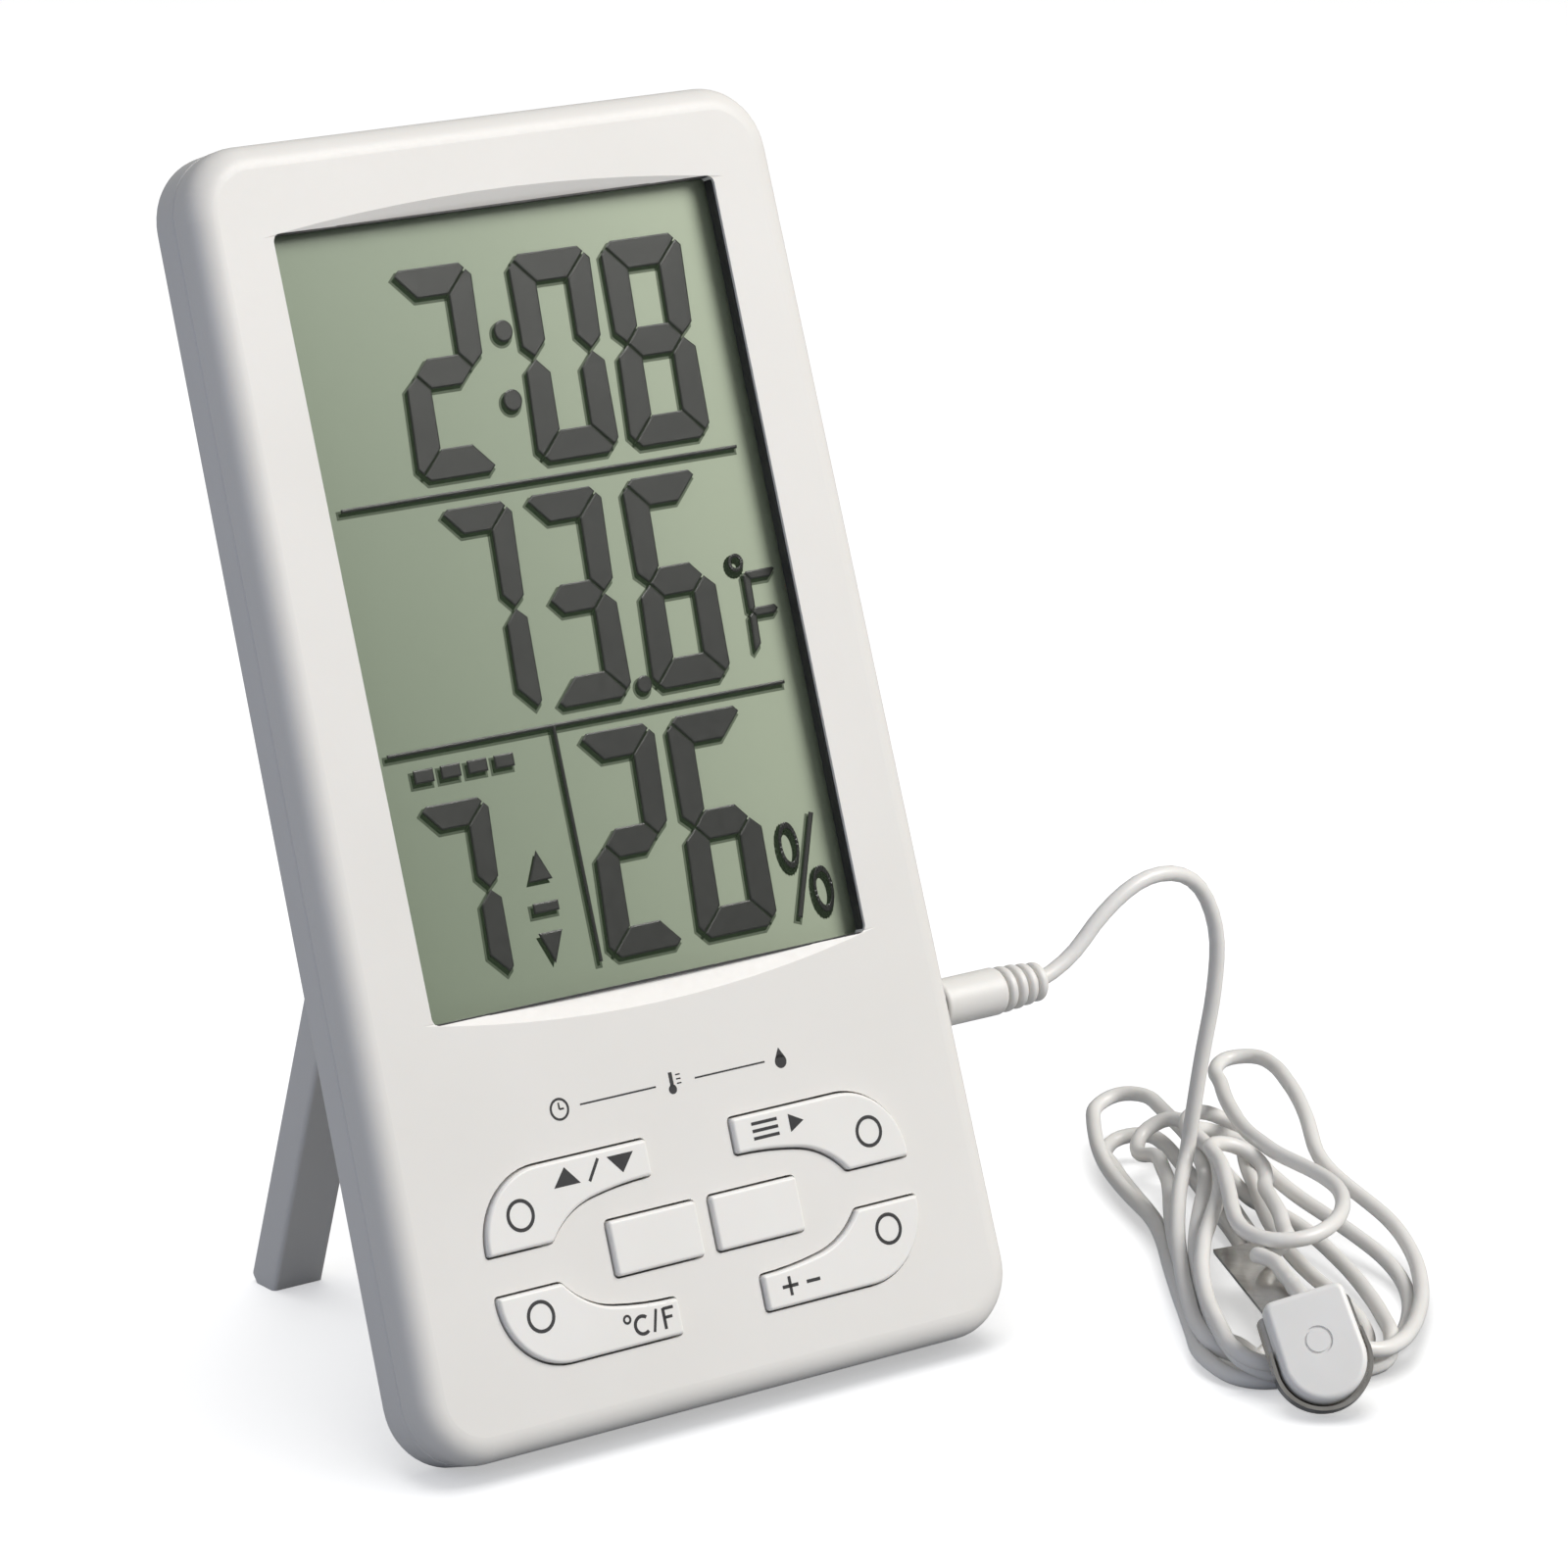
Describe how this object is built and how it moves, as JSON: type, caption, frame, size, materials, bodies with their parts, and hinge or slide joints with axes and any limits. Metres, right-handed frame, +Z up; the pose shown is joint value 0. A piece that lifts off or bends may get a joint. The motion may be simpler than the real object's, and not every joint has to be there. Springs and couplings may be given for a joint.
{
  "type": "maximum minimum thermometer",
  "caption": "Desk thermometer and hygrometer with a large segment display, sprung keys, fold-out stand and a plug-in probe on a hanked lead.",
  "frame": {"origin": "centre of the bounding box of the instrument without its lead, at the surface it stands on", "axes": "+X to the right of the display, +Y towards the back, +Z up; the case leans back 19.5 degrees"},
  "size_m": [0.1509, 0.1136, 0.1414],
  "materials": {
    "case_plastic": "satin, fine moulded texture",
    "key_plastic": "satin",
    "clear_plastic": "clear polished",
    "lcd_glass": "clear, faint grey green",
    "lcd_reflector": "satin film",
    "board_laminate": "satin solder mask",
    "black_resin": "glossy potting",
    "chip_ceramic": "matt",
    "black_plastic": "satin",
    "white_polymer": "matt",
    "rubber_grey": "matt silicone",
    "carbon_black": "matt carbon",
    "zinc_steel": "plated",
    "probe_steel": "polished stainless",
    "cell_jacket": "printed jacket, plain bands",
    "brass_disc": "satin",
    "lead_pvc": "soft satin",
    "wire_red": "satin",
    "wire_black": "satin",
    "probe_plastic": "satin"
  },
  "bodies": {
    "case": {"board_screws": "zinc_steel", "buzzer_disc": "brass_disc", "capacitor": "black_plastic", "case_screws": "zinc_steel", "chip_blob": "black_resin", "chip_parts": "chip_ceramic", "contact_pills": "carbon_black", "crystal_can": "zinc_steel", "display_frame": "black_plastic", "dry_cell": "cell_jacket", "front_case": "case_plastic", "humidity_sensor": "white_polymer", "jack_socket": "black_plastic", "lcd_front_glass": "lcd_glass", "lcd_rear_glass": "lcd_glass", "main_board": "board_laminate", "minus_contact": "zinc_steel", "minus_wire": "wire_black", "plus_contact": "zinc_steel", "plus_wire": "wire_red", "rear_cover": "case_plastic", "reflector_film": "lcd_reflector", "room_thermistor": "black_resin", "rubber_keypad": "rubber_grey", "window_lens": "clear_plastic", "zebra_strip": "rubber_grey"},
    "stand": {"kickstand": "case_plastic"},
    "door": {"battery_door": "case_plastic"},
    "lead": {"cable_hank": "lead_pvc", "plug_overmould": "lead_pvc", "plug_pin": "zinc_steel", "probe_back": "probe_plastic", "probe_bead": "black_resin", "probe_clip": "probe_steel", "probe_front": "probe_plastic", "probe_lead": "lead_pvc"},
    "key_adjust": {"key_adjust": "key_plastic"},
    "key_left": {"key_left": "key_plastic"},
    "key_max_min": {"key_max_min": "key_plastic"},
    "key_mode": {"key_mode": "key_plastic"},
    "key_right": {"key_right": "key_plastic"},
    "key_unit": {"key_unit": "key_plastic"}
  },
  "joints": [
    {"name": "stand_fold", "type": "hinge", "parent": "case", "child": "stand", "pos_m": [0, 0.00773, 0.0762], "axis": [1, 0, 0], "range_deg": [-38.2, 0]},
    {"name": "door_slide", "type": "slide", "parent": "case", "child": "door", "axis": [0, 0.3338, 0.9426], "range_m": [0, 0.02]},
    {"name": "plug_pull", "type": "slide", "parent": "case", "child": "lead", "axis": [1, 0, 0], "range_m": [0, 0.0125]},
    {"name": "press_adjust", "type": "slide", "parent": "case", "child": "key_adjust", "axis": [0, 0.9426, -0.3338], "range_m": [0, 0.0007], "stiffness_N_per_m": 900, "springref_m": -0.0004},
    {"name": "press_left", "type": "slide", "parent": "case", "child": "key_left", "axis": [0, 0.9426, -0.3338], "range_m": [0, 0.0007], "stiffness_N_per_m": 900, "springref_m": -0.0004},
    {"name": "press_max_min", "type": "slide", "parent": "case", "child": "key_max_min", "axis": [0, 0.9426, -0.3338], "range_m": [0, 0.0007], "stiffness_N_per_m": 900, "springref_m": -0.0004},
    {"name": "press_mode", "type": "slide", "parent": "case", "child": "key_mode", "axis": [0, 0.9426, -0.3338], "range_m": [0, 0.0007], "stiffness_N_per_m": 900, "springref_m": -0.0004},
    {"name": "press_right", "type": "slide", "parent": "case", "child": "key_right", "axis": [0, 0.9426, -0.3338], "range_m": [0, 0.0007], "stiffness_N_per_m": 900, "springref_m": -0.0004},
    {"name": "press_unit", "type": "slide", "parent": "case", "child": "key_unit", "axis": [0, 0.9426, -0.3338], "range_m": [0, 0.0007], "stiffness_N_per_m": 900, "springref_m": -0.0004}
  ]
}
